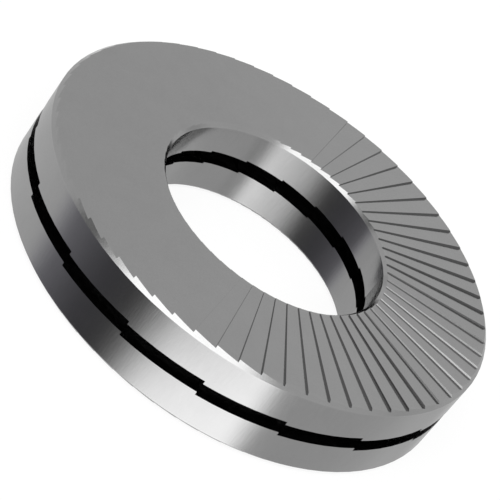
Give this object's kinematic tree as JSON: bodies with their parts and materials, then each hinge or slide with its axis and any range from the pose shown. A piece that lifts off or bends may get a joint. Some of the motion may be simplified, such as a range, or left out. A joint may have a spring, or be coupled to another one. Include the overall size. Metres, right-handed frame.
{
  "type": "wedge lock washer pair",
  "caption": "Pair of round steel lock washers, stacked wedge cam face to wedge cam face, with shallow radial serrations on both outer faces and a plain central bore.",
  "frame": {"origin": "on the axis of the bore, in the plane of the lower washer's serration crests, which the pair lies on", "axes": "+Z along the axis of the bore, from the lower washer to the upper one; +X along one of the radial steps of the cams"},
  "size_m": [0.0166, 0.0166, 0.0031],
  "materials": {
    "washer_steel": "satin, even grey",
    "adhesive": "dull black"
  },
  "bodies": {
    "root": {"lower_washer": "washer_steel", "upper_washer": "washer_steel", "adhesive_layer": "adhesive"}
  },
  "joints": []
}
